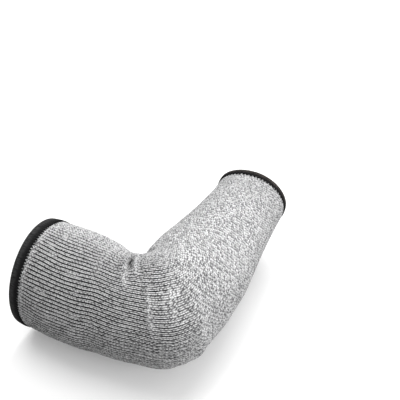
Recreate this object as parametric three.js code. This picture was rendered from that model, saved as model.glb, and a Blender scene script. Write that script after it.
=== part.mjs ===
// A knitted cut resistant sleeve in the form that it takes when worn, with the elbow bent
// at a right angle. It is one seamless knit tube, open at both ends, and each raw end is
// bound by an overlocked edging. Millimetres, +Z up.
// The origin is the centre of the upper arm opening. The sleeve runs from there along +X,
// turns a quarter circle toward +Y at the elbow, and ends at the wrist opening, which
// faces +Y. The bend lies in the XY plane.
import * as THREE from "three";

// Lengths along the centreline of the two straight legs
const UPPER_LENGTH = 84;
const FOREARM_LENGTH = 155;

// Mean radius of the tube at the upper arm, at the elbow and at the wrist
const ARM_RADIUS = 52;
const ELBOW_RADIUS = 50;
const WRIST_RADIUS = 34;

// Radius of the fold inside the elbow, where the two legs meet
const CROOK_RADIUS = 2.4;

// The knit, the edging and the clearance between them
const KNIT_WALL = 1.5;
const EDGING_WALL = 1.2;
const EDGING_CLEARANCE = 0.35;
const UPPER_EDGING_WIDTH = 8.8;
const WRIST_EDGING_WIDTH = 6.5;

// Facets: sides round the tube, rows along each leg and round the bend, and facets round
// the lip of an edging
const SIDES = 42;
const UPPER_ROWS = 10;
const BEND_ROWS = 24;
const FOREARM_ROWS = 20;
const LIP_FACETS = 4;

// Cross-sections of the knit, in order along the sleeve. at is the place along the leg, as
// a share of its length. inner, outer and rise are how far the knit reaches toward the
// crook, toward the point of the elbow, and up or down, as shares of radius.
const SECTIONS = [
  { leg: "upper", at: 0, radius: ARM_RADIUS, inner: 0.92, outer: 0.875, rise: 1.03 },
  { leg: "upper", at: 0.12, radius: ARM_RADIUS, inner: 0.985, outer: 0.915, rise: 1.035 },
  { leg: "upper", at: 0.5, radius: ARM_RADIUS, inner: 1.045, outer: 0.985, rise: 1.015 },
  { leg: "upper", at: 0.8, radius: ARM_RADIUS, inner: 0.96, outer: 0.965, rise: 1.015 },
  { leg: "bend", at: 0, radius: ELBOW_RADIUS, inner: 0.87, outer: 0.93, rise: 1.05 },
  { leg: "bend", at: 0.25, radius: ELBOW_RADIUS, inner: 0.91, outer: 1.01, rise: 1.02 },
  { leg: "bend", at: 0.5, radius: ELBOW_RADIUS, inner: 0.905, outer: 1.245, rise: 1.04 },
  { leg: "bend", at: 0.62, radius: ELBOW_RADIUS, inner: 0.905, outer: 1.22, rise: 1.045 },
  { leg: "bend", at: 0.74, radius: ELBOW_RADIUS, inner: 0.91, outer: 1.07, rise: 1.045 },
  { leg: "bend", at: 0.9, radius: ELBOW_RADIUS, inner: 0.91, outer: 0.975, rise: 1.04 },
  { leg: "forearm", at: 0.06, radius: ELBOW_RADIUS, inner: 1.015, outer: 0.965, rise: 0.98 },
  { leg: "forearm", at: 0.16, radius: ELBOW_RADIUS, inner: 1.01, outer: 0.965, rise: 0.93 },
  { leg: "forearm", at: 0.35, radius: ELBOW_RADIUS, inner: 0.92, outer: 0.9, rise: 0.85 },
  { leg: "forearm", at: 0.6, radius: WRIST_RADIUS, inner: 1.2, outer: 1.175, rise: 1.11 },
  { leg: "forearm", at: 0.84, radius: WRIST_RADIUS, inner: 1.15, outer: 1.085, rise: 0.915 },
  { leg: "forearm", at: 0.92, radius: WRIST_RADIUS, inner: 1.16, outer: 1.065, rise: 0.87 },
  { leg: "forearm", at: 1, radius: WRIST_RADIUS, inner: 1.165, outer: 0.99, rise: 0.86 },
];

// Folds of the knit round the elbow. at is the place along the leg and around is the angle
// in degrees from the crook side, over the top. half is how many degrees the fold runs
// each way round the tube, and lean is how far it drifts along the sleeve in a quarter
// turn. lean, spread and depth are shares of the elbow's radius. A crease has a depth
// below zero and a ridge one above.
const FOLDS = [
  { leg: "upper", at: 0.86, around: 88, half: 42, lean: 0.12, spread: 0.075, depth: 0.018 },
  { leg: "bend", at: 0.02, around: 84, half: 34, lean: 0.1, spread: 0.055, depth: -0.026 },
  { leg: "bend", at: 0.12, around: 92, half: 30, lean: 0.14, spread: 0.05, depth: 0.022 },
  { leg: "bend", at: 0.19, around: 74, half: 24, lean: 0.16, spread: 0.05, depth: -0.04 },
  { leg: "bend", at: 0.27, around: 72, half: 30, lean: 0.1, spread: 0.05, depth: 0.024 },
  { leg: "bend", at: 0.36, around: 106, half: 52, lean: 0.09, spread: 0.06, depth: -0.022 },
  { leg: "bend", at: 0.47, around: 128, half: 34, lean: 0.05, spread: 0.06, depth: 0.02 },
  { leg: "bend", at: 0.58, around: 124, half: 26, lean: -0.06, spread: 0.05, depth: -0.018 },
  { leg: "bend", at: 0.64, around: 186, half: 30, lean: 0.02, spread: 0.05, depth: -0.03 },
  { leg: "bend", at: 0.72, around: 182, half: 34, lean: 0.02, spread: 0.06, depth: 0.02 },
  { leg: "bend", at: 0.84, around: 66, half: 26, lean: -0.1, spread: 0.06, depth: -0.022 },
  { leg: "forearm", at: 0.06, around: 74, half: 30, lean: -0.12, spread: 0.07, depth: 0.018 },
  { leg: "bend", at: 0.08, around: 278, half: 36, lean: -0.1, spread: 0.06, depth: -0.026 },
  { leg: "bend", at: 0.28, around: 280, half: 32, lean: -0.08, spread: 0.055, depth: -0.03 },
  { leg: "bend", at: 0.52, around: 262, half: 40, lean: -0.05, spread: 0.06, depth: -0.022 },
  { leg: "bend", at: 0.78, around: 284, half: 30, lean: 0.08, spread: 0.06, depth: -0.024 },
];

const QUARTER_TURN = 90;

// The bend's radius leaves the crook's own radius inside the deepest inner reach.
const bendRows = SECTIONS.filter((row) => row.leg === "bend");
const deepestReach = Math.max(...bendRows.map((row) => row.inner * row.radius));
const BEND_RADIUS = deepestReach + CROOK_RADIUS;
const BEND_LENGTH = BEND_RADIUS * THREE.MathUtils.degToRad(QUARTER_TURN);
const BEND_END = UPPER_LENGTH + BEND_LENGTH;
const SLEEVE_LENGTH = BEND_END + FOREARM_LENGTH;

const LEGS = {
  upper: { start: 0, length: UPPER_LENGTH },
  bend: { start: UPPER_LENGTH, length: BEND_LENGTH },
  forearm: { start: BEND_END, length: FOREARM_LENGTH },
};

// Distance along the sleeve of a table row
function distanceOf(row) {
  return LEGS[row.leg].start + row.at * LEGS[row.leg].length;
}

// A smooth curve through the rows of one column of the table. It never swings past its
// rows, because each slope is the harmonic mean of its two neighbours, or level at a peak.
function columnCurve(column) {
  const x = SECTIONS.map(distanceOf);
  const y = SECTIONS.map((row) => row[column] * row.radius);
  const steepness = y.slice(1).map((value, i) => (value - y[i]) / (x[i + 1] - x[i]));
  const slope = y.map((_, i) => {
    const before = steepness[i - 1] ?? steepness[i];
    const after = steepness[i] ?? steepness[i - 1];
    return before * after > 0 ? (2 * before * after) / (before + after) : 0;
  });
  return (distance) => {
    const d = THREE.MathUtils.clamp(distance, 0, SLEEVE_LENGTH);
    const next = x.findIndex((value, i) => i > 0 && value >= d);
    const k = (next < 0 ? x.length - 1 : next) - 1;
    const span = x[k + 1] - x[k];
    const t = (d - x[k]) / span;
    const lift = t * t * (3 - 2 * t);
    const leave = t * (1 - t) * (1 - t) * slope[k] * span;
    const arrive = t * t * (1 - t) * slope[k + 1] * span;
    return y[k] + (y[k + 1] - y[k]) * lift + leave - arrive;
  };
}

const innerReach = columnCurve("inner");
const outerReach = columnCurve("outer");
const halfHeight = columnCurve("rise");

// Centre of the tube, and the direction toward the crook, at a distance along the sleeve
function centreline(distance) {
  const inBend = THREE.MathUtils.clamp(distance - UPPER_LENGTH, 0, BEND_LENGTH);
  const turn = inBend / BEND_RADIUS;
  const before = Math.min(distance, UPPER_LENGTH);
  const after = Math.max(distance - BEND_END, 0);
  const x = before + BEND_RADIUS * Math.sin(turn);
  const y = BEND_RADIUS * (1 - Math.cos(turn)) + after;
  const towardCrook = new THREE.Vector3(-Math.sin(turn), Math.cos(turn), 0);
  return { centre: new THREE.Vector3(x, y, 0), towardCrook };
}

// How far the folds lift or press the knit: each is a bell across its line that fades out
// at its two ends. Rows crowd together toward the crook, and the folds shrink with them.
function foldDepth(distance, angle) {
  const degrees = THREE.MathUtils.radToDeg(angle);
  const crowding = 1 - (innerReach(distance) * Math.cos(angle)) / BEND_RADIUS;
  const room = THREE.MathUtils.clamp(crowding, 0, 1);
  return FOLDS.reduce((sum, fold) => {
    const turned = THREE.MathUtils.euclideanModulo(degrees - fold.around + 180, 360) - 180;
    const line = distanceOf(fold) + (fold.lean * ELBOW_RADIUS * turned) / QUARTER_TURN;
    const across = (distance - line) / (fold.spread * ELBOW_RADIUS);
    const along = turned / fold.half;
    const bell = Math.exp(-across * across) * Math.exp(-along * along);
    return sum + fold.depth * ELBOW_RADIUS * bell * room;
  }, 0);
}

// A closed ring of points round the tube, lifted off the knit's outer face. Past an end of
// the sleeve the ring keeps the end's section and moves straight on.
function ring(distance, lift) {
  const onSleeve = THREE.MathUtils.clamp(distance, 0, SLEEVE_LENGTH);
  const { centre, towardCrook } = centreline(distance);
  return Array.from({ length: SIDES }, (_, i) => {
    const angle = (i / SIDES) * 2 * Math.PI;
    const off = lift + foldDepth(onSleeve, angle);
    const reach = Math.cos(angle) > 0 ? innerReach(onSleeve) : outerReach(onSleeve);
    const point = centre.clone().addScaledVector(towardCrook, (reach + off) * Math.cos(angle));
    point.z = (halfHeight(onSleeve) + off) * Math.sin(angle);
    return point;
  });
}

// A shell whose skin passes through the rings in order and closes from the last one back
// to the first, so that it is one body with a hole through it.
function shell(name, rings, material) {
  const positions = rings.flat().flatMap((point) => point.toArray());
  const indices = rings.flatMap((_, i) => {
    const here = i * SIDES;
    const there = ((i + 1) % rings.length) * SIDES;
    return Array.from({ length: SIDES }, (_unused, j) => {
      const next = (j + 1) % SIDES;
      return [here + j, here + next, there + j, here + next, there + next, there + j];
    }).flat();
  });
  const geometry = new THREE.BufferGeometry();
  geometry.setAttribute("position", new THREE.Float32BufferAttribute(positions, 3));
  geometry.setIndex(indices);
  geometry.computeVertexNormals();
  const mesh = new THREE.Mesh(geometry, material);
  mesh.name = name;
  return mesh;
}

// Evenly spaced distances from one place to another, without the last
function steps(from, to, count) {
  return Array.from({ length: count }, (_, i) => from + ((to - from) * i) / count);
}

// Rows of the knit: one at each end, one where each edging stops, and even rows between,
// closer together round the bend
function knitRows() {
  return [
    0,
    ...steps(UPPER_EDGING_WIDTH, UPPER_LENGTH, UPPER_ROWS),
    ...steps(UPPER_LENGTH, BEND_END, BEND_ROWS),
    ...steps(BEND_END, SLEEVE_LENGTH - WRIST_EDGING_WIDTH, FOREARM_ROWS),
    SLEEVE_LENGTH - WRIST_EDGING_WIDTH,
    SLEEVE_LENGTH,
  ];
}

function knitTube() {
  const rows = knitRows();
  const outside = rows.map((distance) => ring(distance, 0));
  const inside = rows.map((distance) => ring(distance, -KNIT_WALL)).reverse();
  const material = new THREE.MeshStandardMaterial({
    color: 0xb4b4b6,
    roughness: 0.95,
    metalness: 0,
  });
  return shell("knit_tube", [...outside, ...inside], material);
}

// An edging straddles the raw end: a strip outside and one inside, joined by a round lip
// past the end. end is the raw end's distance along the sleeve and inward is +1 or -1,
// the way from it into the sleeve.
function edging(name, end, inward, width) {
  const outerFace = EDGING_CLEARANCE + EDGING_WALL;
  const innerFace = -KNIT_WALL - outerFace;
  const lipCentre = -KNIT_WALL / 2;
  const lipRadius = outerFace - lipCentre;
  const lip = [...steps(0, Math.PI, LIP_FACETS), Math.PI].map((angle) => {
    const past = outerFace * Math.sin(angle);
    return { inset: -past, lift: lipCentre + lipRadius * Math.cos(angle) };
  });
  const profile = [
    { inset: width, lift: EDGING_CLEARANCE },
    { inset: width, lift: outerFace },
    ...lip,
    { inset: width, lift: innerFace },
    { inset: width, lift: -KNIT_WALL - EDGING_CLEARANCE },
    { inset: -EDGING_CLEARANCE, lift: -KNIT_WALL - EDGING_CLEARANCE },
    { inset: -EDGING_CLEARANCE, lift: EDGING_CLEARANCE },
  ];
  const rings = profile.map(({ inset, lift }) => ring(end + inward * inset, lift));
  const material = new THREE.MeshStandardMaterial({
    color: 0x1b1b1d,
    roughness: 0.8,
    metalness: 0,
  });
  return shell(name, inward > 0 ? rings.reverse() : rings, material);
}

const sleeve = new THREE.Group();
sleeve.name = "cut_resistant_sleeve";
sleeve.add(
  knitTube(),
  edging("upper_edging", 0, 1, UPPER_EDGING_WIDTH),
  edging("wrist_edging", SLEEVE_LENGTH, -1, WRIST_EDGING_WIDTH),
);

export default sleeve;
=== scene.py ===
# %% [markdown]
# A cut resistant sleeve is a knitted tube that is worn from above the elbow to the wrist. It
# is knitted round without a seam, from a marled yarn of pale and dark strands, and each raw
# end is bound by a black overlocked edging. Here it has the form that it takes when it is
# worn and bent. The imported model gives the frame: where the tube lies and how large it is.
# This script gives the looks, all in metres, around that frame.

import bpy
import numpy as np
from mathutils import Matrix, Vector


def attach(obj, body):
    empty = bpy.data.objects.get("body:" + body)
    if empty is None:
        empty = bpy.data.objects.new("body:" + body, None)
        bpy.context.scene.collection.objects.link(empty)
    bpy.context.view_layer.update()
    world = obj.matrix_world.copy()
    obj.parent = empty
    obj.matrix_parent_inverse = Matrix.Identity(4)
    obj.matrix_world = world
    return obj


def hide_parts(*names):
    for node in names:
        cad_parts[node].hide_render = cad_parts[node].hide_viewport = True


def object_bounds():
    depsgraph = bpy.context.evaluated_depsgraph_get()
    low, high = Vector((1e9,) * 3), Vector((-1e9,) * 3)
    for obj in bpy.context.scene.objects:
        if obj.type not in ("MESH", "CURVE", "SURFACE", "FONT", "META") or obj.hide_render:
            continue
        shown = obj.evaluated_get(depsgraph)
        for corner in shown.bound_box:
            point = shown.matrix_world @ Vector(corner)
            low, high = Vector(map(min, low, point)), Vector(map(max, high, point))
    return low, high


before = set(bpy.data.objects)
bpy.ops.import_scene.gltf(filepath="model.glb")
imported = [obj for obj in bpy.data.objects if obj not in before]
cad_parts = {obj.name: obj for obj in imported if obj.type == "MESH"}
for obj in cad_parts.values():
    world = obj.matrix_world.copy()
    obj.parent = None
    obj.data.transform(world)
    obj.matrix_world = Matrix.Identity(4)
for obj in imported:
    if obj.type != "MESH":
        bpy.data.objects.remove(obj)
cad_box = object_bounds()
print("nodes of the packed model:", sorted(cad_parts))

# %% [markdown]
# The tube is described as a maker would take its measures: the lengths of its three legs, a
# few girths, and how far the cloth reaches toward the inside of the elbow, toward its point,
# and up or down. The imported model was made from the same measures, so the knit lands on it.
# Only the wrist's band is drawn a bit narrower here, and the folds sharper.

# %% Lengths and girths
MM = 0.001
UPPER_LENGTH = 84 * MM
FOREARM_LENGTH = 155 * MM
ARM_RADIUS = 52 * MM
ELBOW_RADIUS = 50 * MM
WRIST_RADIUS = 34 * MM
CROOK_RADIUS = 2.4 * MM
KNIT_WALL = 1.5 * MM
EDGING_WALL = 1.2 * MM
EDGING_CLEARANCE = 0.35 * MM
UPPER_EDGING_WIDTH = 8.8 * MM
WRIST_EDGING_WIDTH = 5.7 * MM

# Each row: the leg, the place along it, the radius, and the reach toward the crook, toward
# the elbow's point and up, as shares of that radius.
SECTIONS = [
    ("upper", 0.00, ARM_RADIUS, 0.920, 0.875, 1.030),
    ("upper", 0.12, ARM_RADIUS, 0.985, 0.915, 1.035),
    ("upper", 0.50, ARM_RADIUS, 1.045, 0.985, 1.015),
    ("upper", 0.80, ARM_RADIUS, 0.960, 0.965, 1.015),
    ("bend", 0.00, ELBOW_RADIUS, 0.870, 0.930, 1.050),
    ("bend", 0.25, ELBOW_RADIUS, 0.910, 1.010, 1.020),
    ("bend", 0.50, ELBOW_RADIUS, 0.905, 1.245, 1.040),
    ("bend", 0.62, ELBOW_RADIUS, 0.905, 1.220, 1.045),
    ("bend", 0.74, ELBOW_RADIUS, 0.910, 1.070, 1.045),
    ("bend", 0.90, ELBOW_RADIUS, 0.910, 0.975, 1.040),
    ("forearm", 0.06, ELBOW_RADIUS, 1.015, 0.965, 0.980),
    ("forearm", 0.16, ELBOW_RADIUS, 1.010, 0.965, 0.930),
    ("forearm", 0.35, ELBOW_RADIUS, 0.920, 0.900, 0.850),
    ("forearm", 0.60, WRIST_RADIUS, 1.200, 1.175, 1.110),
    ("forearm", 0.84, WRIST_RADIUS, 1.150, 1.085, 0.915),
    ("forearm", 0.92, WRIST_RADIUS, 1.160, 1.065, 0.870),
    ("forearm", 1.00, WRIST_RADIUS, 1.165, 0.990, 0.860),
]
deepest_reach = max(inner * radius for leg, _, radius, inner, _, _ in SECTIONS if leg == "bend")
BEND_RADIUS = deepest_reach + CROOK_RADIUS
BEND_LENGTH = BEND_RADIUS * np.pi / 2
BEND_END = UPPER_LENGTH + BEND_LENGTH
SLEEVE_LENGTH = BEND_END + FOREARM_LENGTH
# The start and the length of each leg, along the middle of the sleeve
LEGS = {
    "upper": (0, UPPER_LENGTH),
    "bend": (UPPER_LENGTH, BEND_LENGTH),
    "forearm": (BEND_END, FOREARM_LENGTH),
}
print(f"sleeve length along the middle: {SLEEVE_LENGTH / MM:.1f} mm")

# %% [markdown]
# Between two measured sections the cloth runs smoothly, and it never bulges past either of
# them. A cubic whose slopes are harmonic means of the neighbouring slopes does just that.
# A plain spline would swing past narrow places and make the wrist look blown up.

# %% Smooth curves through the sections
def distance_of(leg, at):
    """Distance along the sleeve: the leg's start plus its share of the leg's length."""
    start, length = LEGS[leg]
    return start + at * length


def column_curve(column):
    """A cubic between each two rows, with y = radius times the share in that column. The
    slope at a row is the harmonic mean of the slopes before and after it, or level at a
    peak, so the curve never swings past its rows."""
    x = np.array([distance_of(row[0], row[1]) for row in SECTIONS])
    y = np.array([row[2] * row[column] for row in SECTIONS])
    steepness = np.diff(y) / np.diff(x)
    before = np.append(steepness[:1], steepness)
    after = np.append(steepness, steepness[-1:])
    same_way = before * after > 0
    slope = np.where(same_way, 2 * before * after / np.where(same_way, before + after, 1), 0)

    def curve(distance):
        d = np.clip(distance, 0, SLEEVE_LENGTH)
        k = np.clip(np.searchsorted(x, d) - 1, 0, len(x) - 2)
        span = x[k + 1] - x[k]
        t = (d - x[k]) / span
        between = y[k] + (y[k + 1] - y[k]) * t * t * (3 - 2 * t)
        leave = t * (1 - t) ** 2 * slope[k] * span
        arrive = t * t * (1 - t) * slope[k + 1] * span
        return between + leave - arrive

    return curve


inner_reach = column_curve(3)
outer_reach = column_curve(4)
half_height = column_curve(5)
print(f"half height at the wrist: {half_height(SLEEVE_LENGTH) / MM:.1f} mm")

# %% [markdown]
# Where it bends, the knit gathers in the crook and wrinkles over the elbow. Each fold is a
# line on the tube with a soft bell across it: a ridge where its depth is above zero, and a
# dent where it is below. One short table places them all, and leaning lines keep them from
# looking like rings on a hose. Sculpting them by hand would look as good, but it couldn't
# follow a change of the lengths above.

# %% Folds round the elbow
# Each row: leg, place along it, angle from the crook side over the top, reach of the fold
# each way (both in degrees), and lean, spread and depth as shares of the elbow's radius.
FOLDS = [
    ("upper", 0.86, 88, 42, 0.12, 0.075, 0.018),
    ("bend", 0.02, 84, 34, 0.10, 0.055, -0.026),
    ("bend", 0.13, 91, 28, 0.26, 0.042, 0.032),
    ("bend", 0.17, 79, 14, 0.12, 0.036, -0.150),
    ("bend", 0.24, 76, 30, 0.12, 0.045, 0.032),
    ("bend", 0.31, 98, 40, 0.09, 0.050, -0.030),
    ("bend", 0.362, 132, 30, 0.10, 0.040, 0.028),
    ("bend", 0.47, 128, 34, 0.05, 0.060, 0.014),
    ("bend", 0.53, 127, 17, -0.06, 0.036, 0.026),
    ("bend", 0.60, 127, 24, -0.06, 0.036, -0.034),
    ("bend", 0.53, 192, 24, 0.06, 0.042, -0.022),
    ("bend", 0.61, 186, 28, 0.03, 0.042, -0.046),
    ("bend", 0.67, 184, 32, 0.03, 0.045, 0.030),
    ("bend", 0.84, 66, 26, -0.10, 0.060, -0.022),
    ("forearm", 0.06, 74, 30, -0.12, 0.070, 0.018),
    ("bend", 0.08, 278, 36, -0.10, 0.060, -0.026),
    ("bend", 0.28, 280, 32, -0.08, 0.055, -0.030),
    ("bend", 0.52, 262, 40, -0.05, 0.060, -0.022),
    ("bend", 0.78, 284, 30, 0.08, 0.060, -0.024),
]


def fold_depth(distance, angle):
    """The sum over the folds of depth times a bell across the fold's leaning line times a
    bell along it. Rows crowd together toward the crook, and the folds shrink with them: by
    one minus the inner reach times the cosine of the angle over the bend's radius."""
    degrees = np.degrees(angle)
    room = np.clip(1 - inner_reach(distance) * np.cos(angle) / BEND_RADIUS, 0, 1)
    total = np.zeros(np.broadcast(distance, angle).shape)
    for leg, at, around, half, lean, spread, depth in FOLDS:
        turned = (degrees - around + 180) % 360 - 180
        line = distance_of(leg, at) + lean * ELBOW_RADIUS * turned / 90
        across = (distance - line) / (spread * ELBOW_RADIUS)
        total += depth * ELBOW_RADIUS * np.exp(-(across**2) - (turned / half) ** 2)
    return total * room


def tube_point(distance, angle, lift):
    """A point on the tube, lifted off the knit's outer face. The centreline runs straight
    along +X, turns a quarter circle toward +Y and runs straight along +Y. From there the
    point lies (reach + lift + fold) times the cosine of the angle toward the crook, and
    (half height + lift + fold) times its sine up. Past an end the last section moves
    straight on."""
    on_sleeve = np.clip(distance, 0, SLEEVE_LENGTH)
    turn = np.clip(distance - UPPER_LENGTH, 0, BEND_LENGTH) / BEND_RADIUS
    before = np.minimum(distance, UPPER_LENGTH)
    after = np.maximum(distance - BEND_END, 0)
    off = lift + fold_depth(on_sleeve, angle)
    reach = np.where(np.cos(angle) > 0, inner_reach(on_sleeve), outer_reach(on_sleeve))
    side = (reach + off) * np.cos(angle)
    x = before + (BEND_RADIUS - side) * np.sin(turn)
    y = BEND_RADIUS - (BEND_RADIUS - side) * np.cos(turn) + after
    z = (half_height(on_sleeve) + off) * np.sin(angle)
    return np.stack(np.broadcast_arrays(x, y, z), axis=-1)


deepest_fold = -min(row[-1] for row in FOLDS) * ELBOW_RADIUS
print(f"{len(FOLDS)} folds, the deepest {deepest_fold / MM:.1f} mm")

# %% [markdown]
# Before anything is built on it, the box of the surface is printed in millimetres. A gap of
# some millimetres from the imported knit would mean that the frame was read wrongly.

# %% Box of the surface
def span_text(low, high):
    """The two corners of a box as text, in millimetres."""
    return " to ".join(str([round(value / MM, 1) for value in corner]) for corner in (low, high))


probe = tube_point(
    np.linspace(0, SLEEVE_LENGTH, 200)[:, None], np.linspace(0, 2 * np.pi, 120)[None, :], 0
)
print("this surface, mm:", span_text(probe.min((0, 1)), probe.max((0, 1))))

# %% [markdown]
# The camera stands in front of the elbow, a bit to the right and well above, with a long
# lens. A place and three angles fix it. Building its axes by hand, right, up and back, lets
# the small roll in as well, which aiming it at a point wouldn't.

# %% Camera
AZIMUTH = np.radians(24.867)
ELEVATION = np.radians(39.413)
ROLL = np.radians(2.675)
CAMERA_PLACE = Vector((409.7, -531.8, 634.7)) * MM
LENS = 86.93
SENSOR = 36.0


def camera_axes(azimuth, elevation, roll):
    """Back points from the scene to the camera, right lies level, and up is back cross
    right. The roll then turns right toward up by its angle."""
    back = Vector((
        np.sin(azimuth) * np.cos(elevation),
        -np.cos(azimuth) * np.cos(elevation),
        np.sin(elevation),
    ))
    level = Vector((np.cos(azimuth), np.sin(azimuth), 0))
    upright = back.cross(level)
    right = level * np.cos(roll) + upright * np.sin(roll)
    return right, back.cross(right), back


camera_data = bpy.data.cameras.new("camera")
camera_data.lens = LENS
camera_data.sensor_width = SENSOR
camera_data.clip_start = 0.01
camera_data.clip_end = 100
camera = bpy.data.objects.new("camera", camera_data)
bpy.context.scene.collection.objects.link(camera)
turned_axes = Matrix(camera_axes(AZIMUTH, ELEVATION, ROLL)).transposed()
camera.matrix_world = Matrix.Translation(CAMERA_PLACE) @ turned_axes.to_4x4()
bpy.context.scene.camera = camera
print(f"camera {CAMERA_PLACE.length:.2f} m from the upper arm opening")

# %% [markdown]
# A product picture on white: a pale floor just under the sleeve catches a soft shadow, and
# the far floor runs out into the same white as the backdrop. Four large soft lights stand
# behind the sleeve, low behind it, above it and at its right. Together they make the forearm
# bright and leave the underside of the upper arm in shade. A single small lamp would be
# simpler, but its shadows would be hard.

# %% Floor and light
FLOOR_GAP = 5 * MM
FLOOR_HALF = 6.0
WORLD_STRENGTH = 0.60
LIGHT_AIM = Vector((0.09, 0.05, 0))
# Each row: name, place, side of the square and watts
STUDIO = [
    ("key", (0.10, 1.20, 1.20), 0.8, 15),
    ("side", (0.80, 1.45, 0.35), 0.8, 4),
    ("top", (-0.45, 0.05, 1.65), 1.0, 12),
    ("right", (1.60, -0.20, 0.60), 0.8, 12),
]

scene = bpy.context.scene
scene.view_settings.view_transform = "Standard"
scene.world = bpy.data.worlds.new("studio")
scene.world.use_nodes = True
backdrop = scene.world.node_tree.nodes["Background"]
backdrop.inputs["Color"].default_value = (1, 1, 1, 1)
backdrop.inputs["Strength"].default_value = WORLD_STRENGTH


def soft_light(name, place, size, watts):
    """A square area light at its place, turned to shine toward the aim."""
    data = bpy.data.lights.new(name, "AREA")
    data.shape = "SQUARE"
    data.size = size
    data.energy = watts
    light = bpy.data.objects.new(name, data)
    light.location = place
    light.rotation_euler = (LIGHT_AIM - Vector(place)).to_track_quat("-Z", "Y").to_euler()
    scene.collection.objects.link(light)


for row in STUDIO:
    soft_light(*row)

floor_height = cad_box[0].z - FLOOR_GAP
signs = [(-1, -1), (1, -1), (1, 1), (-1, 1)]
corners = [(x * FLOOR_HALF, y * FLOOR_HALF, floor_height) for x, y in signs]
floor_mesh = bpy.data.meshes.new("floor")
floor_mesh.from_pydata(corners, [], [(0, 1, 2, 3)])
floor = bpy.data.objects.new("floor", floor_mesh)
scene.collection.objects.link(floor)
print(f"floor at {floor_height / MM:.1f} mm, {len(STUDIO)} lights")

# %% [markdown]
# Patterns are shader node groups: small machines with named inputs and outputs, built once
# and placed in each material with their own values. A few helpers keep the wiring readable.
# One opens a group, and each of the others adds one node whose inputs are plain numbers or
# other nodes' outputs.

# %% Helpers for node groups
def open_group(name, inputs, outputs):
    """An empty shader group: each input is (title, kind, value), each output (title, kind)."""
    tree = bpy.data.node_groups.new(name, "ShaderNodeTree")
    for title, kind, value in inputs:
        socket = tree.interface.new_socket(title, in_out="INPUT", socket_type=f"NodeSocket{kind}")
        socket.default_value = value
    for title, kind in outputs:
        tree.interface.new_socket(title, in_out="OUTPUT", socket_type=f"NodeSocket{kind}")
    entry = tree.nodes.new("NodeGroupInput")
    leave = tree.nodes.new("NodeGroupOutput")
    return tree, entry.outputs, leave.inputs


def feed(tree, socket, value):
    """Links an output to the socket, or sets the socket to a plain value."""
    if isinstance(value, bpy.types.NodeSocket):
        tree.links.new(value, socket)
    else:
        socket.default_value = value


def calc(tree, operation, *values, clamp=False):
    """The result of one Math node."""
    node = tree.nodes.new("ShaderNodeMath")
    node.operation = operation
    node.use_clamp = clamp
    for socket, value in zip(node.inputs, values):
        feed(tree, socket, value)
    return node.outputs[0]


def blend(tree, kind, share, low, high):
    """low where the share is 0, and high where it is 1. A Mix node keeps its two sides and
    its result for numbers and those for colours at places of their own."""
    first_side, result = {"FLOAT": (2, 0), "RGBA": (6, 2)}[kind]
    node = tree.nodes.new("ShaderNodeMix")
    node.data_type = kind
    feed(tree, node.inputs[0], share)
    feed(tree, node.inputs[first_side], low)
    feed(tree, node.inputs[first_side + 1], high)
    return node.outputs[result]


def smooth_step(tree, value, low, high):
    """0 at low, 1 at high, level past them and a smooth rise between. With low above high
    it runs the other way."""
    node = tree.nodes.new("ShaderNodeMapRange")
    node.interpolation_type = "SMOOTHSTEP"
    for title, number in (("Value", value), ("From Min", low), ("From Max", high)):
        feed(tree, node.inputs[title], number)
    return node.outputs["Result"]


def noise(tree, place, scale, detail=2.0, roughness=0.5):
    """Soft noise around one half, at a scale in waves for each unit of place."""
    node = tree.nodes.new("ShaderNodeTexNoise")
    feed(tree, node.inputs["Vector"], place)
    for title, number in (("Scale", scale), ("Detail", detail), ("Roughness", roughness)):
        node.inputs[title].default_value = number
    return node.outputs["Fac"]


def vector_of(tree, x, y, z=0.0):
    """A vector from three numbers or outputs."""
    node = tree.nodes.new("ShaderNodeCombineXYZ")
    for socket, value in zip(node.inputs, (x, y, z)):
        feed(tree, socket, value)
    return node.outputs[0]


def parts_of(tree, vector):
    """The three numbers of a vector."""
    node = tree.nodes.new("ShaderNodeSeparateXYZ")
    feed(tree, node.inputs[0], vector)
    return tuple(node.outputs)


# %% [markdown]
# In plain knitting each stitch shows as a V of two leaning legs, and a column of them is a
# wale. Between two wales the fabric is thin, and where the sleeve is stretched it opens to
# a dark groove. Its near black is partly that open cloth and partly painted shade. A fainter
# line runs down the middle of each wale, between the legs, and is darkened the same way. The
# pattern is worked out from two counts that the tube's UV map carries: the wale's number
# round the tube and the course's number along it. A picture of a knit would do too, but it
# would smear in the crook and show its repeat.

# %% Lines between the legs of the stitches
FULL_DARK = 0.4
LINE_STEP = 5.3
COURSE_STEP = 0.1
BREAK_EDGES = (0.24, 0.44)
BREAK_SHARE = 0.7


# The dark lines mask painted shade in the grooves, which also stands for the open cloth.
def groove_lines(tree, given, wale, course, from_edge, from_middle):
    """A line is fully dark within FULL_DARK of its width, and fades out at its width. The
    darker of the line at the wale's edge and the one in its middle counts. Noise along each
    line takes up to BREAK_SHARE of it away: the noise moves by LINE_STEP from line to line
    and by COURSE_STEP for each course. All is times the rib's strength."""

    def line(distance, title):
        width = given[title]
        return smooth_step(tree, distance, width, calc(tree, "MULTIPLY", width, FULL_DARK))

    edge = line(from_edge, "Groove Width")
    middle = calc(tree, "MULTIPLY", line(from_middle, "Middle Width"), given["Middle Groove"])
    number = calc(tree, "ROUND", calc(tree, "MULTIPLY", wale, 2.0))
    aside = calc(tree, "MULTIPLY", number, LINE_STEP)
    place = vector_of(tree, aside, calc(tree, "MULTIPLY", course, COURSE_STEP))
    opened = smooth_step(tree, noise(tree, place, 1.0), *BREAK_EDGES)
    kept = calc(tree, "MULTIPLY_ADD", opened, BREAK_SHARE, 1 - BREAK_SHARE)
    broken = calc(tree, "MULTIPLY", calc(tree, "MAXIMUM", edge, middle), kept)
    return calc(tree, "MULTIPLY", broken, given["Rib"], clamp=True)


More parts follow.
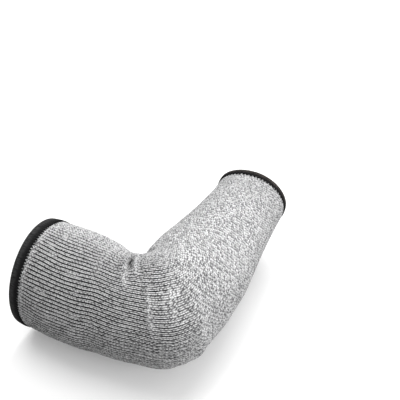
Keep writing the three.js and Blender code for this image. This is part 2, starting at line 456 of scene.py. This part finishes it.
# %% Node group: knit stitches
LEG_POWER = 0.6
BEAD_SHARE = 0.6
CREVICE_EDGES = (0.75, 0.1)
YARN_SPREAD = 2.2


def knit_stitches_group():
    """The course number is sheared: climb rises from 0 at the wale's edges to 1 in its
    middle, and Lean times climb is added, so that equal numbers draw a V. Height is a half
    sine across each leg to LEG_POWER, times one minus BEAD_SHARE plus BEAD_SHARE times a
    half sine along it. Crevices are where that second sine is low, and they carry the painted
    shade between the courses. Each leg of a stitch picks a random number, and Yarn is the
    place that the fleck of the yarn follows."""
    tree, given, out = open_group(
        "knit_stitches",
        [
            ("Place", "Vector", (0, 0, 0)),
            ("Rib", "Float", 1.0),
            ("Lean", "Float", 0.55),
            ("Groove Width", "Float", 0.15),
            ("Middle Width", "Float", 0.19),
            ("Middle Groove", "Float", 0.6),
        ],
        [
            ("Height", "Float"),
            ("Groove", "Float"),
            ("Crevice", "Float"),
            ("Random", "Float"),
            ("Yarn", "Vector"),
        ],
    )
    wale, course, _ = parts_of(tree, given["Place"])
    across = calc(tree, "SUBTRACT", calc(tree, "FRACT", wale), 0.5)
    from_middle = calc(tree, "ABSOLUTE", across)
    from_edge = calc(tree, "SUBTRACT", 0.5, from_middle)
    leg = calc(tree, "FLOOR", calc(tree, "MULTIPLY", wale, 2.0))
    climb = calc(tree, "MULTIPLY", from_edge, 2.0)
    sheared = calc(tree, "MULTIPLY_ADD", given["Lean"], climb, course)
    leg_round = calc(tree, "SINE", calc(tree, "MULTIPLY", climb, np.pi))
    along = calc(tree, "MULTIPLY", calc(tree, "FRACT", sheared), np.pi)
    yarn_round = calc(tree, "SINE", along)
    beads = calc(tree, "MULTIPLY_ADD", yarn_round, BEAD_SHARE, 1 - BEAD_SHARE)
    crown = calc(tree, "POWER", leg_round, LEG_POWER)
    picker = tree.nodes.new("ShaderNodeTexWhiteNoise")
    feed(tree, picker.inputs["Vector"], vector_of(tree, leg, calc(tree, "FLOOR", sheared)))
    yarn = vector_of(tree, calc(tree, "MULTIPLY", wale, YARN_SPREAD), sheared, leg)
    feed(tree, out["Height"], calc(tree, "MULTIPLY", crown, beads))
    feed(tree, out["Groove"], groove_lines(tree, given, wale, course, from_edge, from_middle))
    # Crevice is the mask of the painted shade between the courses.
    feed(tree, out["Crevice"], smooth_step(tree, yarn_round, *CREVICE_EDGES))
    feed(tree, out["Random"], picker.outputs["Value"])
    feed(tree, out["Yarn"], yarn)
    return tree


knit_stitches = knit_stitches_group()
print("group", knit_stitches.name, "with", len(knit_stitches.nodes), "nodes")

# %% [markdown]
# The yarn is marled: pale and dark strands are twisted together, so each stitch shows a bit
# more of one or the other, and the cloth looks like salt and pepper. A sine along the yarn
# brings the strands up by turns, and a random number for each stitch and a fine noise break
# it up. Two plain colours mixed by noise alone would look like sand and not like yarn.

# %% Node group: marled yarn
TURN_JITTER = 0.65
TWIST_STRENGTH = 0.3
STRAY_STRENGTH = 0.4
FLECK_SCALE = 2.4
FLECK_DETAIL = 2.0
FLECK_ROUGHNESS = 0.6


def marled_yarn_group():
    """Turns = the course number times Twist, plus half a turn from leg to leg, plus
    TURN_JITTER of the stitch's random number. Pale share = the given share plus Contrast
    times the sum of TWIST_STRENGTH of the sine of those turns, a fine noise around zero and
    STRAY_STRENGTH of the random number around zero. The colour is the dark one mixed with
    the pale one by that share, then darkened toward the deep colour in crevices and grooves.
    That darkening is painted shade. In the grooves it also stands for the open cloth."""
    tree, given, out = open_group(
        "marled_yarn",
        [
            ("Yarn", "Vector", (0, 0, 0)),
            ("Random", "Float", 0.5),
            ("Crevice", "Float", 0.0),
            ("Groove", "Float", 0.0),
            ("Pale", "Color", (0.7, 0.7, 0.7, 1)),
            ("Dark", "Color", (0.1, 0.1, 0.1, 1)),
            ("Deep", "Color", (0.02, 0.02, 0.02, 1)),
            ("Pale Share", "Float", 0.6),
            ("Contrast", "Float", 0.6),
            ("Twist", "Float", 0.6),
            ("Crevice Depth", "Float", 0.5),
        ],
        [("Color", "Color")],
    )
    _, course, leg = parts_of(tree, given["Yarn"])
    half_turns = calc(tree, "MULTIPLY", leg, 0.5)
    phase = calc(tree, "MULTIPLY_ADD", given["Random"], TURN_JITTER, half_turns)
    turns = calc(tree, "MULTIPLY_ADD", course, given["Twist"], phase)
    wave = calc(tree, "SINE", calc(tree, "MULTIPLY", turns, 2 * np.pi))
    twist = calc(tree, "MULTIPLY", wave, TWIST_STRENGTH)
    speckle = noise(tree, given["Yarn"], FLECK_SCALE, FLECK_DETAIL, FLECK_ROUGHNESS)
    fleck = calc(tree, "SUBTRACT", speckle, 0.5)
    centred = calc(tree, "SUBTRACT", given["Random"], 0.5)
    stray = calc(tree, "MULTIPLY", centred, STRAY_STRENGTH)
    mixed = calc(tree, "ADD", calc(tree, "ADD", twist, fleck), stray)
    pale = calc(tree, "MULTIPLY_ADD", mixed, given["Contrast"], given["Pale Share"], clamp=True)
    yarn = blend(tree, "RGBA", pale, given["Dark"], given["Pale"])
    # Painted shade: crevices, then grooves, darken toward the deep colour.
    painted_crevice_shade = calc(tree, "MULTIPLY", given["Crevice"], given["Crevice Depth"])
    shaded = blend(tree, "RGBA", painted_crevice_shade, yarn, given["Deep"])
    feed(tree, out["Color"], blend(tree, "RGBA", given["Groove"], shaded, given["Deep"]))
    return tree


marled_yarn = marled_yarn_group()
print("group", marled_yarn.name, "with", len(marled_yarn.nodes), "nodes")

# %% [markdown]
# Each material has one Principled BSDF of its own, which the groups feed. The patterns read
# the piece's own UV map and the numbers kept at its vertices, and not its place in space, so
# that they follow the cloth round the bend.

# %% Helpers for materials
def new_material(name):
    """A material with one Principled BSDF, its tree and that shader."""
    material = bpy.data.materials.new(name)
    material.use_nodes = True
    tree = material.node_tree
    return material, tree, tree.nodes["Principled BSDF"]


def place_group(tree, group, **values):
    """The group as a node of this tree, with its inputs set or linked by name. An
    underscore in a keyword stands for a space in the input's title."""
    node = tree.nodes.new("ShaderNodeGroup")
    node.node_tree = group
    for title, value in values.items():
        feed(tree, node.inputs[title.replace("_", " ")], value)
    return node.outputs


def bump(tree, height, metres):
    """A normal from a height between 0 and 1 that stands for this many metres."""
    node = tree.nodes.new("ShaderNodeBump")
    node.inputs["Distance"].default_value = metres
    feed(tree, node.inputs["Height"], height)
    return node.outputs["Normal"]


def own_map(tree, name):
    """The piece's own UV map of that name."""
    node = tree.nodes.new("ShaderNodeUVMap")
    node.uv_map = name
    return node.outputs["UV"]


def own_attribute(tree, name):
    """The piece's own number of that name at each vertex."""
    node = tree.nodes.new("ShaderNodeAttribute")
    node.attribute_name = name
    return node.outputs["Fac"]


# %% [markdown]
# The knit is matte with a soft sheen, as short fibres stand off the yarn and catch light at
# the edges. The outer face shows the V side of the stitches. The inner face shows their
# backs, which are low bumps that lie across, so its material shears the courses less. Where
# the ribs are open, more of the pale strand shows beside the dark grooves, and a deep crease
# is darkened with painted shade. Between the courses the yarn is darkened with painted shade
# too, more on the inner face.

# %% Knit materials
STITCH_MAP = "stitches"
RIB = "rib"
MIDDLE = "middle"
CREASE_SHADE_MASK = "crease"
STITCH_HEIGHT = 0.5 * MM
PALE_YARN = (0.86, 0.86, 0.865, 1)
DARK_YARN = (0.16, 0.16, 0.165, 1)
# The near black of grooves, crevices and deep creases is painted shade. In the grooves it also
# stands for the open cloth.
DEEP_SHADE = (0.004, 0.004, 0.0045, 1)
FLECK_CONTRAST = 1.9
PALE_SHARE_PLAIN = 0.44
PALE_SHARE_RIBBED = 0.88
# The groove's share of its given width where the middle lines are shut, and where full
GROOVE_SHARE_SHUT = 1.3
GROOVE_SHARE_FULL = 0.7


def knit_material(name, lean, groove_width, crevice_shade):
    """Stitches and marled yarn over a rough, softly shining base."""
    material, tree, shader = new_material(name)
    rib = own_attribute(tree, RIB)
    middle = own_attribute(tree, MIDDLE)
    shut_width = GROOVE_SHARE_SHUT * groove_width
    full_width = GROOVE_SHARE_FULL * groove_width
    stitch = place_group(
        tree, knit_stitches,
        Place=own_map(tree, STITCH_MAP),
        Rib=rib,
        Lean=lean,
        Groove_Width=blend(tree, "FLOAT", middle, shut_width, full_width),
        Middle_Groove=middle,
    )
    # Deep creases join the grooves here, and both darken toward DEEP_SHADE: painted shade, in the
    # grooves also the open cloth.
    yarn = place_group(
        tree, marled_yarn,
        Yarn=stitch["Yarn"],
        Random=stitch["Random"],
        Crevice=stitch["Crevice"],
        Groove=calc(tree, "MAXIMUM", stitch["Groove"], own_attribute(tree, CREASE_SHADE_MASK)),
        Pale=PALE_YARN,
        Dark=DARK_YARN,
        Deep=DEEP_SHADE,
        Pale_Share=blend(tree, "FLOAT", rib, PALE_SHARE_PLAIN, PALE_SHARE_RIBBED),
        Contrast=FLECK_CONTRAST,
        Crevice_Depth=crevice_shade,
    )
    feed(tree, shader.inputs["Base Color"], yarn["Color"])
    feed(tree, shader.inputs["Normal"], bump(tree, stitch["Height"], STITCH_HEIGHT))
    shader.inputs["Roughness"].default_value = 0.9
    shader.inputs["Specular IOR Level"].default_value = 0.25
    shader.inputs["Sheen Weight"].default_value = 0.06
    shader.inputs["Sheen Roughness"].default_value = 0.5
    return material


knit_outside = knit_material("knit_outside", lean=0.55, groove_width=0.31, crevice_shade=0.2)
knit_inside = knit_material("knit_inside", lean=0.2, groove_width=0.12, crevice_shade=0.6)
print("materials:", knit_outside.name, knit_inside.name)

# %% [markdown]
# Every piece of this sleeve is a closed skin: rings of points round the tube, joined ring to
# ring and the last back to the first. That is the surface of a bent ring, and numpy can lay
# it out at once: the quad between ring i and column j uses the next ring and the next column.

# %% Helper: a closed skin from rings
def skin(name, rings, across, along, map_name):
    """A mesh whose quads join (i, j), (i, j+1), (i+1, j+1) and (i+1, j), both counts closing
    on themselves. across and along give the UV map at each ring and column, with one column
    more than the rings have, so that the last quad doesn't run backwards."""
    count, sides = rings.shape[:2]
    i, j = np.meshgrid(np.arange(count), np.arange(sides), indexing="ij")
    next_i, next_j = (i + 1) % count, (j + 1) % sides
    this_ring, next_ring = i * sides, next_i * sides
    quads = np.stack([this_ring + j, this_ring + next_j, next_ring + next_j, next_ring + j], -1)
    mesh = bpy.data.meshes.new(name)
    mesh.from_pydata(rings.reshape(-1, 3), [], quads.reshape(-1, 4))
    mesh.shade_smooth()
    corner_rows = np.stack([i, i, next_i, next_i], -1)
    corner_columns = np.stack([j, j + 1, j + 1, j], -1)
    u, v = np.broadcast_arrays(across, along)
    places = np.stack([u[corner_rows, corner_columns], v[corner_rows, corner_columns]], -1)
    layer = mesh.uv_layers.new(name=map_name)
    layer.uv.foreach_set("vector", places.astype(np.float32).ravel())
    piece = bpy.data.objects.new(name, mesh)
    scene.collection.objects.link(piece)
    return piece


def per_vertex(piece, name, values):
    """Stores one number at each vertex."""
    attribute = piece.data.attributes.new(name, "FLOAT", "POINT")
    attribute.data.foreach_set("value", values.astype(np.float32).ravel())


# %% [markdown]
# The wales are real relief, because they show in the outline and catch the light. How far
# they open follows the stretch of the cloth: wide on the upper arm and over the elbow, shut
# on the forearm, in the crook, underneath and on the raised folds. Wales that ran dead
# straight would look machined, so they wander by up to about a quarter of a wale.

# %% Ribs along and round the sleeve
WALES = 92
WANDER = 0.35 * 2 * np.pi / WALES
# Waves of that wander: length over two pi, turns for each turn round the tube, and share
WAVES = [(19 * MM, 3, 0.4), (8.3 * MM, -5, 0.28), (3.7 * MM, 14, 0.1)]
RIB_DEPTH = 0.8 * MM
GROOVE_POWER = 0.8
LEAST_RIB = 0.2
CROOK_FADE = (-0.60, 0.12)
UNDERSIDE_FADE = (-0.95, -0.55)
RIDGE_HEIGHTS = (0.3 * MM, 1.1 * MM)
RIDGE_FADE = 0.75
# Rib strength along the sleeve: (leg, at, strength)
RIB_ROWS = [
    ("upper", 0.00, 0.0),
    ("upper", 0.10, 0.15),
    ("upper", 0.18, 1.0),
    ("bend", 0.50, 1.0),
    ("bend", 0.66, 0.45),
    ("bend", 0.85, 0.15),
    ("forearm", 0.10, 0.06),
    ("forearm", 0.70, 0.06),
    ("forearm", 0.85, 0.25),
    ("forearm", 1.00, 0.20),
]
# Strength of the line down a wale's middle, as a share of the groove's
MIDDLE_ROWS = [("upper", 0.8, 0.5), ("bend", 0.3, 0.8)]


def ease(value, low, high):
    """0 below low, 1 above high and 3 t squared minus 2 t cubed between."""
    t = np.clip((value - low) / (high - low), 0, 1)
    return t * t * (3 - 2 * t)


def along_rows(distance, rows):
    """Straight lines between the rows of a table of (leg, at, strength)."""
    places = [distance_of(leg, at) for leg, at, _ in rows]
    return np.interp(distance, places, [strength for _, _, strength in rows])


def rib_strength(distance, angle):
    """The strength along the sleeve, times a share that falls to LEAST_RIB toward the crook
    and underneath, where the cloth is stretched least, and times one that falls by
    RIDGE_FADE on raised folds, whose cloth is slack."""
    from_crook = ease(-np.cos(angle), *CROOK_FADE)
    from_beneath = ease(np.sin(angle), *UNDERSIDE_FADE)
    around = LEAST_RIB + (1 - LEAST_RIB) * from_crook * from_beneath
    slack = ease(fold_depth(distance, angle), *RIDGE_HEIGHTS)
    return along_rows(distance, RIB_ROWS) * around * (1 - RIDGE_FADE * slack)


def wander(distance, angle):
    """How far a wale strays round the tube: WANDER times the sum of two slow waves and a
    quick one. Each is its share times the sine of the distance over its length plus its
    turns times the angle."""
    waves = [share * np.sin(distance / length + turns * angle) for length, turns, share in WAVES]
    return WANDER * sum(waves)


def rib_relief(distance, angle):
    """Zero on the crowns of a wale's two legs, minus the rib depth in the groove beside it
    and a share of that in its middle: one minus a sine to GROOVE_POWER, with half a turn
    for each leg."""
    half_wale = angle * WALES / np.pi
    beside = np.round(half_wale) % 2 < 0.5
    weight = np.where(beside, 1.0, along_rows(distance, MIDDLE_ROWS))
    shape = 1 - np.abs(np.sin(np.pi * half_wale)) ** GROOVE_POWER
    return -RIB_DEPTH * rib_strength(distance, angle) * weight * shape


outer_side = np.radians(120)
leg_middles = np.array([distance_of("upper", 0.5), distance_of("forearm", 0.5)])
upper_ribs, forearm_ribs = rib_strength(leg_middles, outer_side)
print(f"ribs on the outer side: upper arm {upper_ribs:.2f}, forearm {forearm_ribs:.2f}")

# %% [markdown]
# The mesh follows the wales, with six columns to each, and its rings lie closest in the
# bend, where the folds are. The inner face needs fewer rings, as little of it is seen. The
# courses are counted half along the middle of the sleeve and half along the cloth itself, so
# that the stitches are drawn longer over the elbow's point, as on the real cloth, but don't
# pile up in the crook.

# %% Rings, columns and courses
COLUMNS_PER_WALE = 6
COURSE = 1.9 * MM
OUTER_RINGS = (27, 71, 42)
INNER_RINGS = (5, 26, 8)


def ring_places(counts):
    """Distances along the sleeve, evenly spaced in each leg by its count, and the end."""
    spans = [
        np.linspace(start, start + length, count, endpoint=False)
        for (start, length), count in zip(LEGS.values(), counts)
    ]
    return np.append(np.concatenate(spans), SLEEVE_LENGTH)


def cloth_length(distance, angle):
    """Length along the cloth from the upper opening, as the sum of the steps from ring to
    ring. It is longest over the elbow's point and shortest in the crook."""
    step = np.linalg.norm(np.diff(tube_point(distance, angle, 0), axis=0), axis=-1)
    return np.concatenate([np.zeros((1, angle.size)), np.cumsum(step, axis=0)])


sides = WALES * COLUMNS_PER_WALE
angles = np.linspace(0, 2 * np.pi, sides + 1)[None, :]
columns = angles[:, :-1]
outer = ring_places(OUTER_RINGS)[:, None]
inner = ring_places(INNER_RINGS)[::-1][:, None]
knit_distances = np.concatenate([outer, inner])
inner_length = cloth_length(inner[::-1], angles)[::-1]
own_lengths = np.concatenate([cloth_length(outer, angles), inner_length])
courses = (knit_distances + own_lengths) / 2 / COURSE
print(f"{len(knit_distances)} rings of {sides}, {SLEEVE_LENGTH / COURSE:.0f} courses")

# %% [markdown]
# Now the knit itself: the outer face with its ribs and a little random unevenness, then the
# inner face, one wall further in, back to the start. Three numbers at each vertex tell the
# material how open the ribs are, how open the middle lines are, and how much painted shade
# darkens a deep crease.

# %% Knit tube
LUMP_DEPTH = 0.06 * MM
CREASE_DEPTHS = (1.9 * MM, 3.6 * MM)
CREASE_SHADE = 0.95

rng = np.random.default_rng(13)
lumps = rng.normal(0, LUMP_DEPTH, (len(outer), sides))
strayed = columns + wander(knit_distances, columns)
outer_lift = rib_relief(outer, columns) + lumps
outer_face = tube_point(outer, strayed[:len(outer)], outer_lift)
inner_face = tube_point(inner, strayed[len(outer):], -KNIT_WALL)
knit_rings = np.concatenate([outer_face, inner_face])
knit = skin("knit_sleeve", knit_rings, angles * WALES / (2 * np.pi), courses, STITCH_MAP)

middle_strength = along_rows(knit_distances, MIDDLE_ROWS)
per_vertex(knit, RIB, rib_strength(knit_distances, columns))
per_vertex(knit, MIDDLE, np.broadcast_to(middle_strength, strayed.shape))
# Painted shade: the deepest creases darken toward DEEP_SHADE, by up to CREASE_SHADE.
crease_depth = -fold_depth(knit_distances, strayed)
per_vertex(knit, CREASE_SHADE_MASK, CREASE_SHADE * ease(crease_depth, *CREASE_DEPTHS))

knit.data.materials.append(knit_outside)
knit.data.materials.append(knit_inside)
face_ring = np.repeat(np.arange(len(knit_distances)), sides)
knit.data.polygons.foreach_set("material_index", (face_ring >= len(outer)).astype(np.int32))
print(f"knit: {2 * len(knit.data.polygons)} triangles, {WALES} wales")

# %% [markdown]
# The edging is an overlock stitch: black thread wound tightly over the raw end, outside and
# inside, and held by a needle thread that bites into the knit. Close up, each cord of the
# winding shows its plies, and it turns lighter in streaks toward the rim. Both come from the
# band's own UV map, which counts the cords round it and the millimetres across it.

# %% Node group: wound thread
PLY_TURNS_PER_MM = 3.0
STREAK_STEP_PER_MM = 0.15
STREAK_SCALE = 0.9
STREAK_EDGES = (0.3, 0.6)
RIM_EDGES = (0.75, 0.25)


def wound_thread_group():
    """Fine plies run along each cord of the winding: height is one half plus half the sine
    of as many turns as the cord's count plus PLY_TURNS_PER_MM times the way along it. The
    share of the lighter streak colour is a noise from cord to cord, and it fades from the
    rim to the bite, where the thread sinks into the knit."""
    tree, given, out = open_group(
        "wound_thread",
        [
            ("Place", "Vector", (0, 0, 0)),
            ("Width", "Float", 8.0),
            ("Black", "Color", (0.01, 0.01, 0.01, 1)),
            ("Worn", "Color", (0.06, 0.06, 0.06, 1)),
        ],
        [("Color", "Color"), ("Height", "Float")],
    )
    cord, way, _ = parts_of(tree, given["Place"])
    turns = calc(tree, "MULTIPLY_ADD", way, PLY_TURNS_PER_MM, cord)
    ply = calc(tree, "SINE", calc(tree, "MULTIPLY", turns, 2 * np.pi))
    feed(tree, out["Height"], calc(tree, "MULTIPLY_ADD", ply, 0.5, 0.5))
    place = vector_of(tree, cord, calc(tree, "MULTIPLY", way, STREAK_STEP_PER_MM))
    tone = noise(tree, place, STREAK_SCALE, detail=3.0, roughness=0.7)
    across = calc(tree, "DIVIDE", calc(tree, "ABSOLUTE", way), given["Width"])
    near_rim = smooth_step(tree, across, *RIM_EDGES)
    rim_streaks = calc(tree, "MULTIPLY", smooth_step(tree, tone, *STREAK_EDGES), near_rim)
    feed(tree, out["Color"], blend(tree, "RGBA", rim_streaks, given["Black"], given["Worn"]))
    return tree


wound_thread = wound_thread_group()
print("group", wound_thread.name, "with", len(wound_thread.nodes), "nodes")

# %% [markdown]
# The thread is a soft black with a dull shine, with lighter streaks toward the rim. At the
# wrist those streaks are brown: a painted reflection.

# %% Edging materials
THREAD_MAP = "threads"
PLY_HEIGHT = 0.12 * MM
UPPER_BLACK = (0.006, 0.006, 0.0065, 1)
UPPER_STREAKS = (0.05, 0.05, 0.051, 1)
WRIST_BLACK = (0.005, 0.005, 0.0055, 1)
# The brown of the wrist's streak colour is a painted reflection.
WRIST_REFLECTION_STREAKS = (0.060, 0.050, 0.044, 1)


def edging_material(name, width, black, rim_streaks):
    """Wound thread with a dull shine."""
    material, tree, shader = new_material(name)
    thread = place_group(
        tree, wound_thread,
        Place=own_map(tree, THREAD_MAP), Width=width / MM, Black=black, Worn=rim_streaks,
    )
    feed(tree, shader.inputs["Base Color"], thread["Color"])
    feed(tree, shader.inputs["Normal"], bump(tree, thread["Height"], PLY_HEIGHT))
    shader.inputs["Roughness"].default_value = 0.65
    shader.inputs["Specular IOR Level"].default_value = 0.15
    return material


upper_thread = edging_material("upper_thread", UPPER_EDGING_WIDTH, UPPER_BLACK, UPPER_STREAKS)
wrist_thread = edging_material("wrist_thread", WRIST_EDGING_WIDTH, WRIST_BLACK, WRIST_REFLECTION_STREAKS)
print("materials:", upper_thread.name, wrist_thread.name)

# %% [markdown]
# A band is one section carried round the opening. The section wraps the raw end like a hem,
# and its crown drops toward the bite, where the needle thread pulls it in. The cords of the
# winding lean a little, and small teeth show where each stitch hooks into a wale. A bent
# curve with a bevel would be quicker to make, but it couldn't follow the flattened opening
# of a worn sleeve.

# %% Edgings
CORD_RELIEF = 0.22 * MM
CORD_LEAN = 0.8
TOOTH_LENGTH = 2.4 * MM
TOOTH_MIDDLE = 0.4
BITE_START = 0.4
CROWN_DROP = 0.55
COLUMNS_PER_CORD = 4
LIP_STEPS = 9
STRIP_STEPS = 6
HOME_STEPS = 3


def edging_profile(width):
    """The band's section as rows of (inset from the raw end, lift off the knit, how much a
    tooth moves it): out along the outer strip, round the lip past the end, back along the
    inner strip, and home beneath. The strips lie lower toward the bite, by CROWN_DROP times
    the cube of the way there. A tooth moves nothing until BITE_START of the width."""
    crest = EDGING_CLEARANCE + EDGING_WALL
    middle = -KNIT_WALL / 2
    turn = np.linspace(0, np.pi, LIP_STEPS)
    way = np.linspace(1, 0, STRIP_STEPS, endpoint=False)
    strip = width * way
    crown = crest * (1 - CROWN_DROP * way**3)
    home = np.linspace(-EDGING_CLEARANCE, width, HOME_STEPS)
    inset = np.concatenate([strip, -crest * np.sin(turn), strip[::-1], home[::-1], home])
    lift = np.concatenate([
        crown,
        middle + (crest - middle) * np.cos(turn),
        2 * middle - crown[::-1],
        np.full(HOME_STEPS, -KNIT_WALL - EDGING_CLEARANCE / 2),
        np.full(HOME_STEPS, EDGING_CLEARANCE / 2),
    ])
    return inset, lift, np.clip((inset / width - BITE_START) / (1 - BITE_START), 0, 1)


def edging(name, end, inward, width, cords, teeth, material):
    """Rings of the profile round the opening at this end. Cord relief is a half sine for
    each cord, on the outer surfaces only. The teeth move the bite by TOOTH_LENGTH times a
    squared cosine for each stitch, less TOOTH_MIDDLE."""
    inset, lift, bite = (column[:, None] for column in edging_profile(width))
    angle = np.linspace(0, 2 * np.pi, cords * COLUMNS_PER_CORD + 1)[None, :]
    cord = angle * cords / (2 * np.pi) + CORD_LEAN * inset / width
    from_middle = lift + KNIT_WALL / 2
    outward = np.sign(from_middle) * (np.abs(from_middle) > KNIT_WALL)
    relief = CORD_RELIEF * (np.abs(np.sin(np.pi * cord)) - 0.5) * outward
    tooth = np.cos(angle * teeth / 2) ** 2
    place = end + inward * (inset + TOOTH_LENGTH * (tooth - TOOTH_MIDDLE) * bite)
    rings = tube_point(place, angle, lift + relief)[:, :-1]
    if inward < 0:
        rings, cord, place = rings[::-1], cord[::-1], place[::-1]
    piece = skin(name, rings, cord, (place - end) / MM, THREAD_MAP)
    piece.data.materials.append(material)
    print(f"{name}: {2 * len(piece.data.polygons)} triangles, {cords} cords, {teeth} teeth")
    return piece


upper = edging(
    "upper_binding", end=0, inward=1, width=UPPER_EDGING_WIDTH,
    cords=252, teeth=112, material=upper_thread,
)
wrist = edging(
    "wrist_binding", end=SLEEVE_LENGTH, inward=-1, width=WRIST_EDGING_WIDTH,
    cords=168, teeth=60, material=wrist_thread,
)

# %% [markdown]
# The floor is matte white paper. Seen by the camera it is nearly white and glows a little,
# like a table that is lit from beneath. The light that it throws back up is held down, as a
# dark sheet under a product would do, so that the underside of the sleeve stays in shade.

# %% Floor material
PAPER_SEEN = (0.92, 0.92, 0.92, 1)
PAPER_TO_SLEEVE = (0.3, 0.3, 0.3, 1)
PAPER_GLOW = 0.12

floor_finish, floor_tree, floor_shader = new_material("pale_floor")
seen = floor_tree.nodes.new("ShaderNodeLightPath").outputs["Is Camera Ray"]
paper = blend(floor_tree, "RGBA", seen, PAPER_TO_SLEEVE, PAPER_SEEN)
glow = calc(floor_tree, "MULTIPLY", seen, PAPER_GLOW)
feed(floor_tree, floor_shader.inputs["Base Color"], paper)
feed(floor_tree, floor_shader.inputs["Emission Color"], (1, 1, 1, 1))
feed(floor_tree, floor_shader.inputs["Emission Strength"], glow)
floor_shader.inputs["Roughness"].default_value = 0.9
floor.data.materials.append(floor_finish)
print("floor material:", floor_finish.name)

# %% [markdown]
# Each new piece hides the imported node that it stands for, and the root body carries it.
# The knit is a tube 21 cm round and 36 cm long before it is stretched.

for piece, node, finish in (
    (knit, "knit_tube", "knit"),
    (upper, "upper_edging", "edging"),
    (wrist, "wrist_edging", "edging"),
):
    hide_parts(node)
    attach(piece, "root")
    print(piece.name, "stands for", node)

# %% [markdown]
# The imported model's box is printed in millimetres. Cloth may stand a little proud of the
# imported model, but no more.

# %% Print the packed box and finish
print("packed box, mm:", span_text(*cad_box))
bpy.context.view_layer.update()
